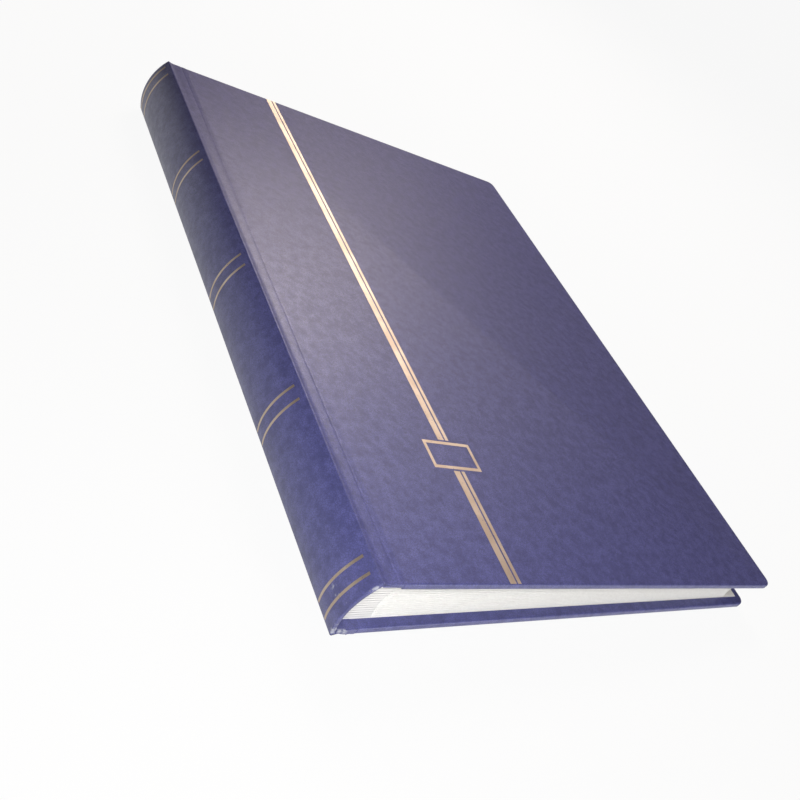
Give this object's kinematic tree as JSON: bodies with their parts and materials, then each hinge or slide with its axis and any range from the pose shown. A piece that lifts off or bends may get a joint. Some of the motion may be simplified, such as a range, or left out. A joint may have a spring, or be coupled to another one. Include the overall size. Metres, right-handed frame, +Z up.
{
  "type": "stamp stock album",
  "caption": "Hard-bound A4 stamp stock album in grained leatherette, with a rounded flexing spine and pocket leaves on linen guards that fan out as the cover opens",
  "frame": {"origin": "middle of the footprint, on the surface that the back cover lies on", "axes": "+X from the spine to the fore-edge, +Y from tail to head, +Z up through the front cover"},
  "size_m": [0.23, 0.305, 0.0282],
  "materials": {
    "leatherette": "grained satin",
    "greyboard": "matte pressed fibre",
    "endpaper": "matte paper",
    "linen": "woven matte",
    "page_card": "matte card",
    "clear_film": "clear gloss",
    "glassine": "translucent satin"
  },
  "bodies": {
    "back_cover": {"back_board": "greyboard", "back_cover_skin": "leatherette", "back_endpaper": "endpaper", "back_joint_linen": "linen"},
    "spine_lower": {"spine_lower_skin": "leatherette", "spine_lower_card": "greyboard"},
    "spine_upper": {"spine_upper_skin": "leatherette", "spine_upper_card": "greyboard"},
    "front_cover": {"front_board": "greyboard", "front_cover_skin": "leatherette", "front_endpaper": "endpaper", "front_joint_linen": "linen"},
    "leaf_01": {"leaf_01": "page_card", "pocket_strips_01": "clear_film", "interleaf_01": "glassine"},
    "leaf_02": {"leaf_02": "page_card", "pocket_strips_02": "clear_film", "interleaf_02": "glassine"},
    "leaf_03": {"leaf_03": "page_card", "pocket_strips_03": "clear_film", "interleaf_03": "glassine"},
    "leaf_04": {"leaf_04": "page_card", "pocket_strips_04": "clear_film", "interleaf_04": "glassine"},
    "leaf_05": {"leaf_05": "page_card", "pocket_strips_05": "clear_film", "interleaf_05": "glassine"},
    "leaf_06": {"leaf_06": "page_card", "pocket_strips_06": "clear_film", "interleaf_06": "glassine"},
    "leaf_07": {"leaf_07": "page_card", "pocket_strips_07": "clear_film", "interleaf_07": "glassine"},
    "leaf_08": {"leaf_08": "page_card", "pocket_strips_08": "clear_film", "interleaf_08": "glassine"},
    "leaf_09": {"leaf_09": "page_card", "pocket_strips_09": "clear_film", "interleaf_09": "glassine"},
    "leaf_10": {"leaf_10": "page_card", "pocket_strips_10": "clear_film", "interleaf_10": "glassine"},
    "leaf_11": {"leaf_11": "page_card", "pocket_strips_11": "clear_film", "interleaf_11": "glassine"},
    "leaf_12": {"leaf_12": "page_card", "pocket_strips_12": "clear_film", "interleaf_12": "glassine"},
    "leaf_13": {"leaf_13": "page_card", "pocket_strips_13": "clear_film", "interleaf_13": "glassine"},
    "leaf_14": {"leaf_14": "page_card", "pocket_strips_14": "clear_film", "interleaf_14": "glassine"},
    "leaf_15": {"leaf_15": "page_card", "pocket_strips_15": "clear_film", "interleaf_15": "glassine"},
    "leaf_16": {"leaf_16": "page_card", "pocket_strips_16": "clear_film", "interleaf_16": "glassine"}
  },
  "joints": [
    {"name": "back_joint", "type": "hinge", "parent": "back_cover", "child": "spine_lower", "pos_m": [-0.11231, 0, 0.00075], "axis": [0, -1, 0], "range_deg": [0, 76.4]},
    {"name": "spine_flex", "type": "hinge", "parent": "spine_lower", "child": "spine_upper", "pos_m": [-0.11469, 0, 0.01476], "axis": [0, -1, 0], "range_deg": [0, 44.3]},
    {"name": "front_joint", "type": "hinge", "parent": "spine_upper", "child": "front_cover", "pos_m": [-0.10831, 0, 0.02745], "axis": [0, -1, 0], "range_deg": [0, 62.1]},
    {"name": "leaf_16_guard", "type": "hinge", "parent": "back_cover", "child": "leaf_16", "pos_m": [-0.11076, 0, 0.00407], "axis": [0, -1, 0], "range_deg": [0, 10.61]},
    {"name": "leaf_15_guard", "type": "hinge", "parent": "leaf_16", "child": "leaf_15", "pos_m": [-0.1111, 0, 0.00541], "axis": [0, -1, 0], "range_deg": [0, 10.61]},
    {"name": "leaf_14_guard", "type": "hinge", "parent": "leaf_15", "child": "leaf_14", "pos_m": [-0.11135, 0, 0.00674], "axis": [0, -1, 0], "range_deg": [0, 10.61]},
    {"name": "leaf_13_guard", "type": "hinge", "parent": "leaf_14", "child": "leaf_13", "pos_m": [-0.11153, 0, 0.00808], "axis": [0, -1, 0], "range_deg": [0, 10.61]},
    {"name": "leaf_12_guard", "type": "hinge", "parent": "leaf_13", "child": "leaf_12", "pos_m": [-0.11164, 0, 0.00942], "axis": [0, -1, 0], "range_deg": [0, 10.61]},
    {"name": "leaf_11_guard", "type": "hinge", "parent": "leaf_12", "child": "leaf_11", "pos_m": [-0.11167, 0, 0.01076], "axis": [0, -1, 0], "range_deg": [0, 10.61]},
    {"name": "leaf_10_guard", "type": "hinge", "parent": "leaf_11", "child": "leaf_10", "pos_m": [-0.11163, 0, 0.01209], "axis": [0, -1, 0], "range_deg": [0, 10.61]},
    {"name": "leaf_09_guard", "type": "hinge", "parent": "leaf_10", "child": "leaf_09", "pos_m": [-0.11152, 0, 0.01343], "axis": [0, -1, 0], "range_deg": [0, 10.61]},
    {"name": "leaf_08_guard", "type": "hinge", "parent": "leaf_09", "child": "leaf_08", "pos_m": [-0.11133, 0, 0.01477], "axis": [0, -1, 0], "range_deg": [0, 10.61]},
    {"name": "leaf_07_guard", "type": "hinge", "parent": "leaf_08", "child": "leaf_07", "pos_m": [-0.11107, 0, 0.01611], "axis": [0, -1, 0], "range_deg": [0, 10.61]},
    {"name": "leaf_06_guard", "type": "hinge", "parent": "leaf_07", "child": "leaf_06", "pos_m": [-0.11073, 0, 0.01744], "axis": [0, -1, 0], "range_deg": [0, 10.61]},
    {"name": "leaf_05_guard", "type": "hinge", "parent": "leaf_06", "child": "leaf_05", "pos_m": [-0.11031, 0, 0.01878], "axis": [0, -1, 0], "range_deg": [0, 10.61]},
    {"name": "leaf_04_guard", "type": "hinge", "parent": "leaf_05", "child": "leaf_04", "pos_m": [-0.1098, 0, 0.02012], "axis": [0, -1, 0], "range_deg": [0, 10.61]},
    {"name": "leaf_03_guard", "type": "hinge", "parent": "leaf_04", "child": "leaf_03", "pos_m": [-0.1092, 0, 0.02146], "axis": [0, -1, 0], "range_deg": [0, 10.61]},
    {"name": "leaf_02_guard", "type": "hinge", "parent": "leaf_03", "child": "leaf_02", "pos_m": [-0.10851, 0, 0.02279], "axis": [0, -1, 0], "range_deg": [0, 10.61]},
    {"name": "leaf_01_guard", "type": "hinge", "parent": "leaf_02", "child": "leaf_01", "pos_m": [-0.1077, 0, 0.02413], "axis": [0, -1, 0], "range_deg": [0, 10.61]}
  ],
  "couplings": [
    {"joint": "spine_flex", "follows": "back_joint", "ratio": 0.57984},
    {"joint": "front_joint", "follows": "back_joint", "ratio": 0.81283},
    {"joint": "leaf_16_guard", "follows": "back_joint", "ratio": 0.13885},
    {"joint": "leaf_15_guard", "follows": "back_joint", "ratio": 0.13885},
    {"joint": "leaf_14_guard", "follows": "back_joint", "ratio": 0.13885},
    {"joint": "leaf_13_guard", "follows": "back_joint", "ratio": 0.13885},
    {"joint": "leaf_12_guard", "follows": "back_joint", "ratio": 0.13885},
    {"joint": "leaf_11_guard", "follows": "back_joint", "ratio": 0.13885},
    {"joint": "leaf_10_guard", "follows": "back_joint", "ratio": 0.13885},
    {"joint": "leaf_09_guard", "follows": "back_joint", "ratio": 0.13885},
    {"joint": "leaf_08_guard", "follows": "back_joint", "ratio": 0.13885},
    {"joint": "leaf_07_guard", "follows": "back_joint", "ratio": 0.13885},
    {"joint": "leaf_06_guard", "follows": "back_joint", "ratio": 0.13885},
    {"joint": "leaf_05_guard", "follows": "back_joint", "ratio": 0.13885},
    {"joint": "leaf_04_guard", "follows": "back_joint", "ratio": 0.13885},
    {"joint": "leaf_03_guard", "follows": "back_joint", "ratio": 0.13885},
    {"joint": "leaf_02_guard", "follows": "back_joint", "ratio": 0.13885},
    {"joint": "leaf_01_guard", "follows": "back_joint", "ratio": 0.13885}
  ]
}
